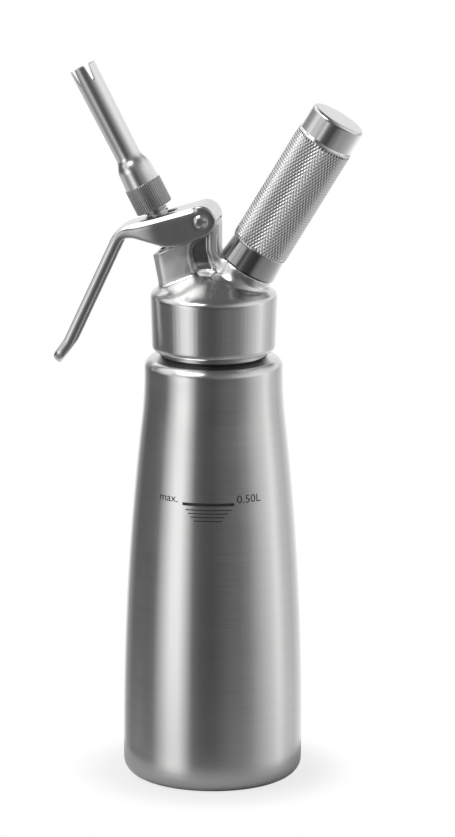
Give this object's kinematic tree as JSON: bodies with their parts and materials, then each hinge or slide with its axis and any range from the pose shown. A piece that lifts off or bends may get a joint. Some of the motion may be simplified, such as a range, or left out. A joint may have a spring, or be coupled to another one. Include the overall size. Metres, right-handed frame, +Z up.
{
  "type": "cream whipper",
  "caption": "Stainless steel cream whipper: ogive bottle, screw-on cap with a squeeze lever valve, slotted decorating nozzle and a knurled holder for a gas bulb.",
  "frame": {"origin": "centre of the bottle's base, on the surface that it stands on", "axes": "+Z up along the bottle's axis, +X towards the gas bulb's holder, -X towards the nozzle and the lever, Y across the lever"},
  "size_m": [0.1304, 0.076, 0.3059],
  "materials": {
    "brushed_steel": "fine brushed",
    "polished_steel": "polished",
    "turned_steel": "fine turned",
    "bulb_steel": "satin",
    "brass": "turned",
    "silicone": "matte",
    "black_rubber": "matte"
  },
  "bodies": {
    "bottle": {"bottle": "brushed_steel", "neck_ring": "turned_steel"},
    "gasket": {"head_gasket": "silicone"},
    "head": {"head": "brushed_steel", "guide_bush": "turned_steel", "pin_holder": "brass", "piercing_pin": "turned_steel", "charger_seal": "black_rubber", "check_valve": "silicone"},
    "lever": {"lever": "polished_steel", "pivot_barrel": "turned_steel", "pivot_screw": "turned_steel"},
    "valve": {"valve_stem": "turned_steel", "valve_poppet": "turned_steel", "valve_seal": "silicone", "stem_o_ring": "black_rubber", "valve_spring": "turned_steel"},
    "nozzle_seal": {"nozzle_seal": "silicone"},
    "nozzle": {"nozzle": "polished_steel"},
    "charger": {"charger": "bulb_steel"},
    "charger_holder": {"charger_holder": "polished_steel"}
  },
  "joints": [
    {"name": "head_rise", "type": "slide", "parent": "bottle", "child": "gasket", "axis": [0, 0, 1], "range_m": [0, 0.00875]},
    {"name": "head_turn", "type": "hinge", "parent": "gasket", "child": "head", "pos_m": [0, 0, 0.2], "axis": [0, 0, 1], "range_deg": [0, 901]},
    {"name": "lever_press", "type": "hinge", "parent": "head", "child": "lever", "pos_m": [-0.0044, 0, 0.2408], "axis": [0, -1, 0], "range_deg": [0, 12], "stiffness_Nm_per_rad": 3, "springref_deg": -8.59},
    {"name": "valve_slide", "type": "slide", "parent": "head", "child": "valve", "axis": [0.4617, 0, -0.887], "range_m": [0, 0.0034], "deforming": ["valve_spring"]},
    {"name": "nozzle_rise", "type": "slide", "parent": "valve", "child": "nozzle_seal", "axis": [-0.4617, 0, 0.887], "range_m": [0, 0.00625]},
    {"name": "nozzle_turn", "type": "hinge", "parent": "nozzle_seal", "child": "nozzle", "pos_m": [-0.02771, 0, 0.24922], "axis": [-0.4617, 0, 0.887], "range_deg": [0, 1801]},
    {"name": "charger_rise", "type": "slide", "parent": "head", "child": "charger", "axis": [0.512, 0, 0.859], "range_m": [0, 0.01]},
    {"name": "holder_turn", "type": "hinge", "parent": "charger", "child": "charger_holder", "pos_m": [0.03072, 0, 0.24814], "axis": [0.512, 0, 0.859], "range_deg": [0, 1801]}
  ],
  "couplings": [
    {"joint": "head_turn", "follows": "head_rise", "rad_per_m": 1795.2},
    {"joint": "valve_slide", "follows": "lever_press", "m_per_rad": 0.0162},
    {"joint": "nozzle_turn", "follows": "nozzle_rise", "rad_per_m": 5026.5},
    {"joint": "holder_turn", "follows": "charger_rise", "rad_per_m": 3141.6}
  ]
}
